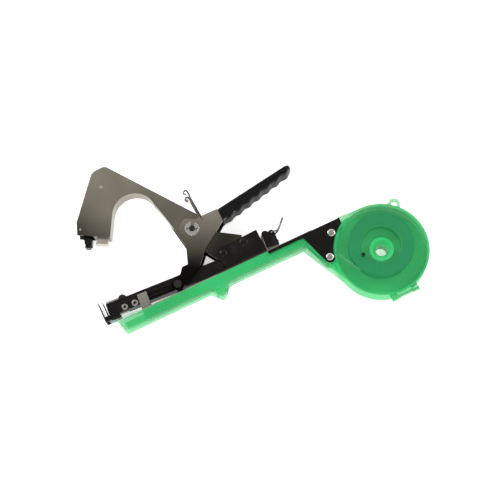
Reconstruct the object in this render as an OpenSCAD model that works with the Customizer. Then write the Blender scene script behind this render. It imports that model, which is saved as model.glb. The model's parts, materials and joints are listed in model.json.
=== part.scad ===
// Hand tool that ties plants to a cane: it pulls a soft tape round the stem, staples the
// loop shut and cuts it. The tool lies on its side. +Z is its width, the jaws are at -X,
// the handle is at +Y, and the origin is the reel's axis on the plane it lies on.

/* [Overall] */
// Width of the reel case and of the handle grip
body_w = 22; // [21:0.5:26]
// Thickness of the pressed steel sheet
sheet_t = 1.2; // [0.9:0.1:1.4]
// Gap left on each side between pieces that slide past each other
slide_gap = 0.2; // [0.1:0.05:0.3]
// Radial gap of a pin in its bore
pin_gap = 0.05; // [0.02:0.01:0.09]

/* [Reel case] */
// Outside radius of the reel case
case_r = 46.5; // [44:0.5:52]
// Wall of the plastic mouldings
case_wall = 2; // [1.4:0.1:2.4]
// Thickness of the case cover
cover_t = 2; // [1.4:0.1:2.6]
// Radius of the boss the tape roll hangs on
boss_r = 12; // [10:0.5:13]
// Radius of the bore through the boss
boss_bore_r = 5.8; // [4:0.1:7]
// Radius of the full tape roll
roll_r = 32.5; // [28:0.5:34]
// Inside radius of the roll's card core
core_r = 19; // [17:0.5:21]
// Wall of the card core
core_t = 1.4; // [1:0.1:2.5]
// Width of the tape
tape_w = 11; // [8:0.5:12]
// Radius of the hanging hole
hang_r = 3; // [2.2:0.1:3.5]

/* [Base] */
// Height of the base's top above the reel's axis
base_top = 48.5; // [46:0.5:50]
// Length of the base in front of the reel's axis
base_l = 262; // [255:1:270]
// Depth of the base under the magazine
base_h = 13; // [11:0.5:15]
// Depth of the finger stop under the base
stop_h = 10; // [5:0.5:14]
// How far the steel rail stands out of the green base
rail_rise = 1.4; // [0.6:0.1:2]

/* [Magazine] */
// Gap on each side of the magazine, which floats in its channel
float_gap = 0.3; // [0.2:0.05:0.4]
// Wall of the thin sheet that the magazine is made of
track_wall = 0.8; // [0.6:0.1:0.9]
// Height of the channel
channel_h = 13; // [12:0.5:14]
// Slope of the channel, which rises to the front
channel_tilt = 3.5; // [2.5:0.25:4.5]
// Width of a staple
staple_w = 6; // [5.6:0.1:6.2]
// Leg length of a staple
staple_h = 4.8; // [4:0.2:5.4]
// Length of the stick of staples
stick_l = 48; // [20:1:70]

/* [Jaw and handle] */
// Outside width of the jaw arm
jaw_w = 15; // [14.4:0.1:16]
// Radius of the throat between the jaw's nose and its leg
throat_r = 22; // [18:0.5:25]
// Radius of the jaw's pivot pin
jaw_pin_r = 2.5; // [2:0.1:3]
// Radius of the pin that joins the jaw and the handle
main_pin_r = 3; // [2.4:0.1:3.6]
// Radius of the studs that run in the channel's slots
stud_r = 2; // [1.6:0.1:2.4]
// How far the studs travel when the handle is squeezed
stud_travel = 27; // [24:0.5:30]
// Depth of one finger wave under the grip
wave_h = 1.4; // [0:0.1:2]
// Length of one finger wave
wave_l = 11.5; // [9:0.5:16]

/* [Hidden] */
$fn = 64;

mid_z = body_w / 2;

// Places of the pivots, seen from the side
jaw_pivot = [-141, 64.5];
rear_pivot = [-118, 66.3];
main_pivot = [-158, 101];
stud_at = [-194, 55.6];
lock_pivot = [-144.9, 106.3];

// Widths that nest in each other, from the magazine outwards
track_w = staple_w + 2 * slide_gap + 2 * track_wall;
channel_in = track_w + 2 * float_gap;
channel_w = channel_in + 2 * sheet_t;
jaw_in = jaw_w - 2 * sheet_t;
housing_in = jaw_w + 2 * slide_gap;
housing_w = housing_in + 2 * sheet_t;
lever_in = housing_in;
lever_w = lever_in + 2 * sheet_t;
rail_in = channel_w + slide_gap;
rail_w = rail_in + 2 * sheet_t;
base_w = rail_w + 2 * slide_gap + 2 * case_wall;

// Heights and lengths of the base, seen from the side
base_bottom = base_top - base_h;
wall_top = base_top - rail_rise;
neck_x = -case_r - 20.5;
neck_end = -24;
stop_x = -156;
channel_front = -base_l - 5;

// ---------------------------------------------------------------- helpers

// A point of an arc round c
function on_arc(c, r, a) = [c[0] + r * cos(a), c[1] + r * sin(a)];
function arc(c, r, a0, a1, n = 12) = [for (i = [0:n]) on_arc(c, r, a0 + (a1 - a0) * i / n)];

// A flat plate of the outline, of thickness t, from height z
module plate(outline, z, t) {
    translate([0, 0, z]) linear_extrude(t) polygon(outline);
}

// The same plate on both sides of a channel of outside width w
module side_plates(outline, w, t = sheet_t) {
    for (z = [mid_z - w / 2, mid_z + w / 2 - t]) plate(outline, z, t);
}

// A web across the channel, as wide as w, along the two points
module web(a, b, w, t = sheet_t) {
    run = b - a;
    translate([a[0], a[1], mid_z - w / 2])
        rotate(atan2(run[1], run[0])) cube([norm(run), t, w]);
}

// A pin along Z through p, centred on the middle plane
module z_pin(p, r, length) {
    translate([p[0], p[1], mid_z - length / 2]) cylinder(r = r, h = length);
}

// A straight stretch of bent wire, with eight flats
module rod(a, b, r) {
    run = b - a;
    translate(a) rotate([0, acos(run[2] / norm(run)), atan2(run[1], run[0])])
        translate([0, 0, -r / 2]) cylinder(r = r, h = norm(run) + r, $fn = 8);
}

// Bent wire through a list of points
module wire(points, r) {
    for (i = [0:len(points) - 2]) rod(points[i], points[i + 1], r);
}

// The channel's own frame: x runs back along it, y is 0 at its underside, z is 0 at its middle
channel_root = [rear_pivot[0], base_top - 1.6];
module in_channel() {
    translate([channel_root[0], channel_root[1], mid_z]) rotate(-channel_tilt) children();
}
// x of a place along the channel, from its place along the tool
function along(x) = (x - channel_root[0]) / cos(channel_tilt);
module bar(x0, x1, y0, y1, w) {
    translate([x0, y0, -w / 2]) cube([x1 - x0, y1 - y0, w]);
}

// ---------------------------------------------------------------- base and reel case

rail_floor = base_bottom + case_wall;
tape_run_y = rail_floor + 3;
cavity_w = base_w - 2 * case_wall;
// The finger stop is one lopsided wave
stop_wave = [for (i = [0:12])
    [stop_x - 14 + 2 * i, base_bottom - stop_h * pow(sin(15 * i), 2) * (1 + 0.25 * cos(15 * i))]];
base_outline = concat(
    [[-base_l, wall_top], [-base_l + 3, base_bottom]], stop_wave,
    [[neck_x, base_bottom], [neck_x, wall_top]]);

module base_grip() {
    color("mediumseagreen", 0.8) difference() {
        plate(base_outline, mid_z - base_w / 2, base_w);
        // the groove for the rail, open to the magazine
        translate([-base_l + 6, rail_floor, mid_z - cavity_w / 2])
            cube([base_l + 6, base_h + stop_h, cavity_w]);
        // hollow of the finger stop
        translate([stop_x - 8, base_bottom - stop_h + 3.5, mid_z - cavity_w / 2])
            cube([14, stop_h, cavity_w]);
    }
}

// Round tray for the roll, with the neck that the base is screwed to
neck_low = on_arc([0, 0], case_r, 214);
neck_outline = [[neck_x, base_bottom], [neck_x + 1, base_bottom - 3], neck_low, [0, 0], [0, case_r],
    [neck_end, base_top - 0.6], [neck_end, wall_top], [neck_x, wall_top]];
hang_at = on_arc([0, 0], case_r + 3, 48);
hang_z = 12;
hang_t = 4;
funnel_h = 5;
funnel_r = 9;
module reel_case() {
    color("mediumseagreen", 0.8) difference() {
        union() {
            plate(neck_outline, mid_z - base_w / 2, base_w);
            cylinder(r = case_r, h = body_w - cover_t, $fn = 128);
            // lug that the tool hangs by
            hull() {
                translate([hang_at[0], hang_at[1], hang_z]) cylinder(r = hang_r + 3, h = hang_t, $fn = 32);
                translate([hang_at[0] * 0.8, hang_at[1] * 0.8, hang_z])
                    cylinder(r = hang_r + 5, h = hang_t, $fn = 32);
            }
            for (s = [-1, 1]) hinge_knuckle(s * hinge_side, hinge_side_l);
        }
        // room for the roll
        difference() {
            translate([0, 0, case_wall]) cylinder(r = case_r - case_wall, h = body_w, $fn = 128);
            cylinder(r = boss_r, h = body_w - cover_t, $fn = 96);
        }
        // end of the rail's groove
        translate([neck_x - 1, rail_floor, mid_z - cavity_w / 2]) cube([30, base_h + stop_h, cavity_w]);
        // passage for the tape from the case to the groove
        translate([neck_x + 2, tape_run_y - 3, mid_z - tape_w / 2 - 1]) cube([70, 6, tape_w + 2]);
        // hollow of the neck
        plate([[neck_x + 6, rail_floor], [-case_r + 0.5, -6], [-case_r + 10.5, -24],
            [-case_r + 14.5, rail_floor]], mid_z - cavity_w / 2, cavity_w);
        cylinder(r = boss_bore_r, h = 3 * body_w, center = true, $fn = 96);
        translate([0, 0, body_w - cover_t - funnel_h])
            cylinder(r1 = boss_bore_r, r2 = funnel_r, h = funnel_h, $fn = 96);
        translate([hang_at[0], hang_at[1], 0]) cylinder(r = hang_r, h = 3 * body_w, center = true);
        for (p = screw_at) z_hole(p, screw_r + pin_gap);
        hinge_bore();
        cover_relief();
        // room for the cover
        translate([0, 0, body_w - cover_t]) cylinder(r = case_r + slide_gap, h = body_w, $fn = 128);
    }
}
module z_hole(p, r) {
    translate([p[0], p[1], -body_w]) cylinder(r = r, h = 3 * body_w);
}

// Hinge of the cover
hinge_r = 2.6;
hinge_pin_r = 1.2;
hinge_at = [-case_r - 3.2, body_w - cover_t - 1.2];
hinge_side = 11;
hinge_side_l = 7;
hinge_mid_l = 2 * hinge_side - hinge_side_l - 0.6;
module hinge_knuckle(x, l) {
    translate([x - l / 2, hinge_at[0], hinge_at[1]]) rotate([0, 90, 0]) cylinder(r = hinge_r, h = l);
    translate([x - l / 2, hinge_at[0], hinge_at[1] - hinge_r]) cube([l, 6, hinge_r]);
}
module hinge_bore() {
    translate([-30, hinge_at[0], hinge_at[1]]) rotate([0, 90, 0]) cylinder(r = hinge_pin_r + pin_gap, h = 60);
}
// Room in the case wall for the cover's own knuckle
module cover_relief() {
    translate([-hinge_mid_l / 2 - 0.3, hinge_at[0] - hinge_r, hinge_at[1] - hinge_r - 0.3])
        cube([hinge_mid_l + 0.6, 2 * hinge_r + 0.4, 20]);
}
skirt_r = case_r - case_wall - slide_gap;
module case_cover() {
    color("lightgreen", 0.8) difference() {
        union() {
            translate([0, 0, body_w - cover_t]) cylinder(r = case_r, h = cover_t, $fn = 128);
            // skirt that centres the cover in the case
            difference() {
                translate([0, 0, body_w - cover_t - 2]) cylinder(r = skirt_r, h = 2.5, $fn = 128);
                cylinder(r = skirt_r - 1.5, h = body_w, $fn = 128);
                translate([neck_x, 8, 0]) cube([-neck_x, 60, body_w - cover_t]);
            }
            translate([-hinge_mid_l / 2, hinge_at[0], hinge_at[1]]) rotate([0, 90, 0])
                cylinder(r = hinge_r, h = hinge_mid_l);
            translate([-hinge_mid_l / 2, hinge_at[0], hinge_at[1] + hinge_r - 1.4])
                cube([hinge_mid_l, 8, body_w - hinge_at[1] - hinge_r + 1.4]);
        }
        translate([0, 0, -1]) cylinder(r = boss_r + 2 * slide_gap, h = 2 * body_w, $fn = 96);
        z_hole(plug_at, plug_r);
        hinge_bore();
    }
}
// Small black plug beside the roll's core, which damps the roll
plug_at = on_arc([0, 0], core_r, 172);
plug_r = 1.3;
module cover_plug() {
    color("black") {
        translate([plug_at[0], plug_at[1], body_w - cover_t - 0.7]) cylinder(r = plug_r, h = cover_t + 0.7);
        translate([plug_at[0], plug_at[1], body_w - cover_t - 0.7]) cylinder(r = plug_r + 0.9, h = 0.7);
    }
}
module cover_hinge_pin() {
    l = 2 * hinge_side + hinge_side_l;
    color("silver") translate([-l / 2, hinge_at[0], hinge_at[1]]) rotate([0, 90, 0])
        cylinder(r = hinge_pin_r, h = l);
}

// Roll of tape, which hangs loosely on the boss
roll_at = [3, 5.6];
roll_z = mid_z - 1 - tape_w / 2;
module roll_core() {
    color("tan") ring(roll_at, core_r, core_r + core_t, roll_z, tape_w);
}
module tape_roll() {
    color("seagreen") ring(roll_at, core_r + core_t, roll_r, roll_z, tape_w);
}
module ring(p, r_in, r_out, z, h) {
    translate([p[0], p[1], z]) difference() {
        cylinder(r = r_out, h = h, $fn = 128);
        translate([0, 0, -1]) cylinder(r = r_in, h = h + 2, $fn = 128);
    }
}

// Steel plates on the neck, and the screws through them
screw_r = 1.9;
screw_at = [on_arc([0, 0], case_r + 5.1, 135.5), on_arc([0, 0], case_r + 4.75, 163.3)];
ear_top = wall_top - 0.2;
ear_arm_h = 3.2;
ear_outline = concat(
    [[neck_x - 34, ear_top], [neck_x - 34, ear_top - ear_arm_h], [neck_x + 3, ear_top - ear_arm_h]],
    arc(screw_at[1], 5.6, 205, 330, 8),
    arc([0, 0], case_r + 0.6, 157, 120, 12),
    [[neck_end + 1, ear_top]]);
module side_plate_near() {
    color("dimgray") ear_plate(mid_z + base_w / 2);
}
module side_plate_far() {
    color("dimgray") ear_plate(mid_z - base_w / 2 - sheet_t);
}
module ear_plate(z) {
    difference() {
        plate(ear_outline, z, sheet_t);
        for (p = screw_at) z_hole(p, screw_r + pin_gap);
        translate([0, 0, z - 1]) cylinder(r = case_r + slide_gap, h = sheet_t + 2, $fn = 128);
    }
}
plate_stack = base_w + 2 * sheet_t;
module plate_screws() {
    color("silver") for (p = screw_at) {
        z_pin(p, screw_r, plate_stack);
        translate([p[0], p[1], mid_z + plate_stack / 2]) difference() {
            cylinder(r1 = 3.7, r2 = 3, h = head_h);
            for (a = [0, 90]) rotate(a) translate([-2, -0.5, 0.2]) cube([4, 1, 2]);
        }
    }
}
head_h = (body_w - plate_stack) / 2;
module plate_nuts() {
    color("silver") for (p = screw_at)
        translate([p[0], p[1], 0]) cylinder(r = 3.6, h = head_h, $fn = 6);
}

// Rail that lies in the groove of the base
rail_x0 = -base_l + 26;
rail_x1 = neck_x + 24;
module rail() {
    color("gray") translate([rail_x0, rail_floor, mid_z - rail_w / 2]) difference() {
        cube([rail_x1 - rail_x0, base_top - rail_floor, rail_w]);
        translate([-1, sheet_t, sheet_t]) cube([rail_x1 - rail_x0 + 2, 30, rail_in]);
        for (p = screw_at) translate([p[0] - rail_x0 - 3.5, p[1] - rail_floor - 3.5, -1]) cube([60, 60, 60]);
    }
}

// ---------------------------------------------------------------- housing, channel and guides

housing_x = [-145.5, -101.5];
housing_y = [base_top + 1.2, 72];
foot_x = [-156, -101.5];
module housing() {
    color("dimgray") difference() {
        union() {
            side_plates([[housing_x[0], housing_y[0]], [housing_x[0], housing_y[1] - 5],
                [housing_x[0] + 2, housing_y[1] - 2], [housing_x[0] + 6, housing_y[1] - 1.2],
                [housing_x[1], housing_y[1]], [housing_x[1], housing_y[0]]], housing_w);
            // feet that stand on the base
            for (z = [mid_z - base_w / 2, mid_z + base_w / 2 - (base_w - channel_slot_w) / 2])
                translate([foot_x[0], base_top, z])
                    cube([foot_x[1] - foot_x[0], sheet_t, (base_w - channel_slot_w) / 2]);
            // bridge over the back
            translate([housing_x[1] - 5, housing_y[1] - sheet_t, mid_z - housing_w / 2])
                cube([5, sheet_t, housing_w]);
        }
        z_hole(jaw_pivot, jaw_pin_r + pin_gap);
        z_hole(rear_pivot, rear_pin_r + pin_gap);
    }
}
channel_slot_w = channel_w + 2 * slide_gap;
rear_pin_r = 2.5;
pin_head_h = 1;
// A riveted pin with a low head on each side of the housing
module headed_pin(p, r, w, head_r, head_t) {
    z_pin(p, r, w);
    for (z = [mid_z - w / 2 - head_t, mid_z + w / 2])
        translate([p[0], p[1], z]) cylinder(r = head_r, h = head_t);
}
module jaw_pin() {
    color("silver") headed_pin(jaw_pivot, jaw_pin_r, housing_w, jaw_pin_r + 1.2, pin_head_h);
}
module rear_pin() {
    color("silver") headed_pin(rear_pivot, rear_pin_r, housing_w, rear_pin_r + 1.5, pin_head_h);
}

channel_x0 = along(channel_front);
driver_x = along(channel_front + 7.5);
track_y = 6.9;
channel_x1 = along(-101.5);
stud_from_root = stud_at - channel_root;
slot_y = stud_from_root[1] * cos(channel_tilt) + stud_from_root[0] * sin(channel_tilt);
stud_x = along(stud_at[0]);
slot_len = stud_travel + 4;
rivet_at = [along(channel_front + 16.7), along(channel_front + 27.2)];
rivet_y = 3.4;
rivet_r = [1.8, 2];
rivet_head_h = 0.6;
// A fin on the channel's floor and one under the track pass each other and close the slots' view
fin_x = [driver_x + 20, driver_x + 82];
fin_t = 0.6;
fin_top = track_y - 2.3;
module channel() {
    color("dimgray") in_channel() difference() {
        union() {
            difference() {
                bar(channel_x0, channel_x1, 0, channel_h, channel_w);
                bar(channel_x0 - 1, channel_x1 + 1, sheet_t, channel_h + 1, channel_in);
            }
            translate([0, 0, -1]) bar(fin_x[0], fin_x[1], sheet_t - 0.4, fin_top, fin_t);
        }
        // slots that the studs run in
        for (z = [-channel_w / 2 - 1, channel_in / 2 - 1])
            hull() for (x = [stud_x + 1.5, stud_x - slot_len])
                translate([x, slot_y, z]) cylinder(r = stud_r + 0.8, h = sheet_t + 2, $fn = 32);
        // room for the front of the jaw's pin
        translate([along(jaw_pivot[0]), channel_h + 3.6, -channel_w])
            cylinder(r = jaw_pin_r + 2, h = 2 * channel_w);
        for (i = [0, 1]) translate([rivet_at[i], rivet_y, -channel_w])
            cylinder(r = rivet_r[i] + pin_gap, h = 2 * channel_w);
        // room for the driver blade
        bar(driver_x - 1, driver_x + 2, -1, sheet_t + 1, staple_w + 1);
    }
}
module channel_rivets() {
    color("silver") in_channel() for (i = [0, 1]) translate([rivet_at[i], rivet_y, 0]) difference() {
        union() {
            for (z = [-channel_w / 2, channel_in / 2]) translate([0, 0, z])
                cylinder(r = rivet_r[i], h = sheet_t);
            for (z = [-channel_w / 2 - rivet_head_h, channel_w / 2]) translate([0, 0, z])
                cylinder(r = rivet_r[i] + 1.2, h = rivet_head_h);
        }
        translate([0, 0, -channel_w]) cylinder(r = rivet_r[i] - 0.7, h = 2 * channel_w);
    }
}
// Steel saddle that ties the channel down to the rail
saddle_x = [along(channel_front + 31.6), along(channel_front + 41.4)];
module channel_saddle() {
    color("silver") difference() {
        in_channel() for (s = [-1, 1]) translate([0, 0, s * (channel_w + sheet_t) / 2])
            bar(saddle_x[0], saddle_x[1], -12, channel_h - 3, sheet_t);
        translate([-base_l, base_top - 20, -body_w]) cube([base_l, 20, 3 * body_w]);
    }
}

// Two upright plates at the front, which hold the free end of the tape between them
guide_w = channel_w + 3;
guide_x = channel_front - 6;
guide_y = [base_top + 3.5, base_top + 24];
guide_t = 1;
module tape_guide() {
    color("dimgray") {
        translate([guide_x, guide_y[0], mid_z - guide_w / 2])
            cube([guide_t, guide_y[1] - guide_y[0], guide_w]);
        for (z = [mid_z - guide_w / 2, mid_z + guide_w / 2 - guide_t])
            translate([guide_x, guide_y[0], z]) cube([16, 5, guide_t]);
        for (z = [mid_z - guide_w / 2, mid_z + channel_w / 2])
            translate([guide_x + 11, guide_y[0], z]) cube([5, 5, (guide_w - channel_w) / 2]);
    }
}
module guide_plate() {
    color("silver") translate([channel_front - 1.8, guide_y[0] + 1, mid_z - guide_w / 2 + guide_t])
        cube([0.8, guide_y[1] - guide_y[0] - 2, guide_w - 2 * guide_t]);
}
module driver_blade() {
    color("silver") in_channel() {
        bar(driver_x, driver_x + 0.8, -sheet_t, 6.6, staple_w - 0.2);
        bar(driver_x, driver_x + 12, -sheet_t, 0, staple_w - 0.2);
    }
}

// ---------------------------------------------------------------- magazine

track_h = staple_h + 1.2;
track_x = [along(channel_front + 1), along(-101.5)];
module magazine() {
    color("gray") difference() {
        union() {
            in_channel() difference() {
                bar(track_x[0], track_x[1], track_y, track_y + track_h, track_w);
                bar(track_x[0] - 1, track_x[1] + 1, track_y + 0.8, 40, staple_w + 2 * slide_gap);
            }
            in_channel() translate([0, 0, 1]) bar(fin_x[0], fin_x[1], fin_top - 1, track_y + 0.4, fin_t);
            for (z = [mid_z - track_w / 2, mid_z + track_w / 2 - track_wall])
                plate([[rear_pivot[0] - 6, 57.5], [rear_pivot[0] - 4, rear_pivot[1] + 1],
                    [rear_pivot[0], rear_pivot[1] + 4.4], [rear_pivot[0] + 4, rear_pivot[1] + 1],
                    [rear_pivot[0] + 6, 56.5]], z, track_wall);
        }
        z_hole(rear_pivot, rear_pin_r + pin_gap);
        in_channel() bar(driver_x - 0.8, driver_x + 1.6, 0, 40, staple_w + 2 * slide_gap);
    }
}
nose_l = 12;
module magazine_nose() {
    color("lightgray") in_channel() difference() {
        bar(track_x[0] - 0.4, track_x[0] + nose_l, track_y + track_h, track_y + track_h + 2.4,
            channel_in - 2 * slide_gap);
        bar(driver_x - 0.8, driver_x + 1.6, 0, 40, staple_w + 2 * slide_gap);
    }
}
// Round-topped black latch that holds the nose down on the track
latch_r = 4.2;
module magazine_latch() {
    color("black") in_channel() difference() {
        translate([track_x[0] + nose_l + latch_r, track_y + track_h, -track_w / 2 + 0.2])
            cylinder(r = latch_r, h = track_w - 0.4);
        bar(track_x[0], track_x[0] + 30, 0, track_y + track_h, 40);
    }
}
staple_pitch = 0.6;
staple_t = 0.5;
module staples() {
    color("silver") in_channel() {
        for (i = [0:3:stick_l / staple_pitch]) staple(driver_x + 1.8 + i * staple_pitch);
    }
}
module staple(x) {
    t = 3 * staple_pitch - 0.1;
    y = track_y + 0.8;
    bar(x, x + t, y, y + staple_t, staple_w);
    for (s = [-1, 1]) translate([0, 0, s * (staple_w - staple_t) / 2])
        bar(x, x + t, y, y + staple_h, staple_t);
}
rod_y = track_y + 3.2;
rod_x1 = along(-86);
module follower_rod() {
    color("silver") in_channel() translate([driver_x + stick_l + 4, rod_y, 0]) rotate([0, 90, 0])
        cylinder(r = 1, h = rod_x1 - driver_x - stick_l - 4, $fn = 32);
}
follower_x = driver_x + 1.8 + stick_l + 1.8;
follower_l = 9;
module follower() {
    color("goldenrod") in_channel() difference() {
        bar(follower_x, follower_x + follower_l, track_y + 0.9, track_y + 0.9 + staple_h,
            staple_w - 2 * slide_gap);
        translate([follower_x - 1, rod_y, 0]) rotate([0, 90, 0]) cylinder(r = 1.06, h = 20, $fn = 32);
    }
}
spring_turns = 22;
module follower_spring() {
    x0 = follower_x + follower_l + 0.5;
    pitch = (track_x[1] - 1 - x0) / spring_turns;
    color("silver") in_channel() for (i = [0:spring_turns - 1])
        translate([x0 + i * pitch, rod_y, 0]) rotate([0, 90, 0])
            rotate_extrude($fn = 24) translate([1.75, 0]) circle(r = 0.3, $fn = 16);
}
float_turns = 4;
module float_spring() {
    color("silver") in_channel() for (i = [0:float_turns - 1])
        translate([driver_x + 14, sheet_t + 0.5 + i * 1.45, 0]) rotate([90, 0, 0])
            rotate_extrude($fn = 32) translate([2.4, 0]) circle(r = 0.4, $fn = 16);
}
// Block that closes the back of the magazine
tail_x = [track_x[1] + 1.4, along(-87)];
module tail_block() {
    color("dimgray") in_channel() difference() {
        union() {
            bar(tail_x[0], tail_x[1], track_y - 1.2, tail_y - 3, tail_w);
            translate([tail_x[0] + 3.6, tail_y - 3, -tail_w / 2]) cylinder(r = 3.6, h = tail_w);
            translate([tail_pivot[0], tail_pivot[1], -tail_w / 2]) cylinder(r = 3.2, h = tail_w);
        }
        translate([tail_x[0] - 1, rod_y, 0]) rotate([0, 90, 0]) cylinder(r = 1.06, h = 40, $fn = 32);
        wire_hole();
    }
}
tail_y = track_y + 16;
tail_w = 9;
tail_pivot = [tail_x[1] - 3.4, tail_y - 4];
tail_wire_r = 0.9;
module wire_hole() {
    translate([tail_pivot[0], tail_pivot[1], -20]) cylinder(r = tail_wire_r + pin_gap, h = 40, $fn = 32);
}
module end_plate() {
    color("lightgray") in_channel() difference() {
        bar(track_x[1] + 0.2, track_x[1] + 1.4, 0.5, tail_y - 3, channel_w);
        translate([track_x[1] - 1, rod_y, 0]) rotate([0, 90, 0]) cylinder(r = 1.06, h = 5, $fn = 32);
    }
}
module tail_wire() {
    x = tail_pivot[0];
    y = tail_pivot[1];
    r = tail_wire_r;
    color("silver") in_channel() {
        translate([x, y, -6]) cylinder(r = r, h = 12);
        for (s = [-1, 1])
            wire([[x, y, s * 5.6], [x + 6.5, y + 0.4, s * 5.6], [x + 10, y + 3.4, s * 3],
                [x + 17, y + 11.4, s * 0.6]], r);
    }
}

// ---------------------------------------------------------------- jaw

throat_at = [-203.5, 141];
nose_lo = [-263.5, 146];
nose_hi = [-235, 129.4];
jaw_outline = concat(
    [nose_lo, [-259, 158.5], [-226, 199], [-222, 201], [-213, 201.5], [-209, 200]],
    [[-147.5, 113.5]],
    arc(main_pivot, 13, 30, -30, 6),
    [[-137, 87.4], [-116.5, 73.8], [-117.5, 72], [-127, 66.5]],
    arc(jaw_pivot, 8, 0, -160, 10),
    [[-157.5, 76], [-171, 88], [-178, 130.6]],
    arc(throat_at, throat_r, 5, 151, 16),
    [nose_hi]);
module jaw_arm() {
    color("silver") difference() {
        union() {
            side_plates(jaw_outline, jaw_w);
            // web along the throat
            difference() {
                plate(arc(throat_at, throat_r + sheet_t, 0, 155, 20), mid_z - jaw_w / 2, jaw_w);
                plate(concat(arc(throat_at, throat_r, -5, 160, 24), [throat_at + [0, -3]]), 0, body_w);
            }
            web(nose_hi, on_arc(throat_at, throat_r, 151), jaw_w);
            web([-173.2, 112], on_arc(throat_at, throat_r + sheet_t, 5), jaw_w);
            // floor of the nose, open in front for the claw
            web(nose_lo + (nose_hi - nose_lo) * 0.49, nose_hi, jaw_w);
        }
        z_hole(jaw_pivot, jaw_pin_r + pin_gap);
        z_hole(main_pivot, main_pin_r + pin_gap);
        z_hole(spacer_at, 1.5 + pin_gap);
        z_hole(claw_pivot, claw_pin_r + pin_gap);
    }
}
spacer_at = [-222, 182];
module jaw_spacer() {
    color("silver") {
        z_pin(spacer_at, 1.5, jaw_w + 1);
        z_pin(spacer_at, 3, jaw_in);
    }
}
// The nose's own frame: x runs back along its underside, y is away from the jaw's floor
nose_run = nose_hi - nose_lo;
nose_turn = atan2(nose_run[1], nose_run[0]);
module in_nose() {
    translate([nose_lo[0], nose_lo[1], mid_z]) rotate(nose_turn) children();
}
anvil_x = 20;
anvil_rivet_x = [anvil_x + 2.5, anvil_x + 8.5];
module anvil() {
    color("silver") in_nose() difference() {
        bar(anvil_x, anvil_x + 11, -6.6, 0, 9);
        for (s = [-1, 1]) translate([anvil_x + 4, -6.6, s * 1.5])
            rotate([0, 90, 0]) cylinder(r = 0.6, h = 4, $fn = 24);
        for (x = anvil_rivet_x) translate([x, -4, 0])
            rotate([-90, 0, 0]) cylinder(r = 1.2 + pin_gap, h = 10);
    }
}
module anvil_rivets() {
    color("silver") in_nose() for (x = anvil_rivet_x)
        translate([x, -4, 0]) rotate([-90, 0, 0]) {
            cylinder(r = 1.2, h = 4);
            translate([0, 0, 4 + sheet_t]) cylinder(r = 2, h = 1);
        }
}
module cutter_blade() {
    color("lightgray") in_nose() translate([anvil_x - 1, 0, -4])
        linear_extrude(8) polygon([[0.2, 0], [0.2, -7], [-0.4, -9], [1, -7.2], [1, 0]]);
}
claw_pivot = [-258.5, 150];
claw_pin_r = 1.2;
claw_w = 8;
// Stepped tooth that catches the end of the tape, from its pivot: along the floor and away from it
claw_hook = [[0, 2], [3.1, 6.5], [3.6, 9], [5, 10.5], [5.2, 13], [6.4, 14.2], [6.4, 17.4],
    [11.6, 17.4], [11.4, 15], [13.4, 15.6], [12.6, 13], [12.4, 9], [11.4, 6.2], [2, 0]];
module tape_claw() {
    color("black") difference() {
        union() {
            z_pin(claw_pivot, 2.6, claw_w);
            translate([claw_pivot[0], claw_pivot[1], 0]) rotate(nose_turn)
                plate([for (p = claw_hook) [p[0], -p[1]]], mid_z - claw_w / 2, claw_w);
        }
        z_hole(claw_pivot, claw_pin_r + pin_gap);
    }
}
module claw_pin() {
    color("silver") z_pin(claw_pivot, claw_pin_r, jaw_w + 0.8);
}
module return_spring() {
    color("silver") {
        for (s = [-1, 1]) for (i = [0:2])
            translate([main_pivot[0], main_pivot[1], mid_z + s * (1.5 + i * 1.1)])
                rotate_extrude($fn = 48) translate([4.4, 0]) circle(r = 0.5, $fn = 16);
    }
}

// ---------------------------------------------------------------- handle

grip_x = [-127, -41];
tongue_x = -46;
grip_wall = 2.2;
function grip_top(x) = 109 + (x - grip_x[0]) * 0.143;
function grip_low(x) =
    94.4 + (x - grip_x[0]) * 0.237 + wave_h * sin((x - grip_x[0]) * 360 / wave_l) / 2;
lever_outline = concat(
    [[-150, 108], [-147, 109.2], [-143.5, 109.2], [grip_x[0] - 0.2, 109]],
    [[grip_x[0] - 0.2, grip_top(grip_x[0]) - grip_wall], [tongue_x, grip_top(tongue_x) - grip_wall]],
    [[tongue_x, grip_low(tongue_x) + 1.6], [-127, 95.4], [-136, 89], [-154.3, 76.7], [-160, 70.3]],
    [[-168, 61.6]], arc(stud_at, 6.6, -50, -215, 10),
    [[-187.4, 64], [-183.5, 69.4], [-177, 69.6], [-171, 86.5]],
    arc(main_pivot, 13, 200, 100, 8));
module handle_lever() {
    color("gray") difference() {
        union() {
            side_plates(lever_outline, lever_w);
            web([grip_x[0] - 1, grip_top(grip_x[0] - 1) - grip_wall - sheet_t],
                [tongue_x, grip_top(tongue_x) - grip_wall - sheet_t], lever_w);
            web([grip_x[0] - 13, 109 - sheet_t], [grip_x[0] - 0.2, 109 - sheet_t], lever_w);
            translate([grip_x[0] - 0.2 - sheet_t, 105.7, mid_z - lever_w / 2])
                cube([sheet_t, 3.3, lever_w]);
        }
        z_hole(main_pivot, main_pin_r + pin_gap);
        z_hole(stud_at, stud_r + pin_gap);
        z_hole(lock_pivot, lock_wire_r + pin_gap);
    }
}
grip_in = lever_w + 2 * pin_gap;
grip_steps = 64;
function grip_line(top, inset) = [for (i = [0:grip_steps])
    let (x = grip_x[0] + (grip_x[1] - grip_x[0] - 4) * i / grip_steps)
    [x, top ? grip_top(x) - inset : grip_low(x) + inset]];
tip_x = grip_x[1] - 4;
tip_r = (grip_top(tip_x) - grip_low(tip_x)) / 2;
pocket_x = [grip_x[0] - 5, tongue_x + 0.6];
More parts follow.
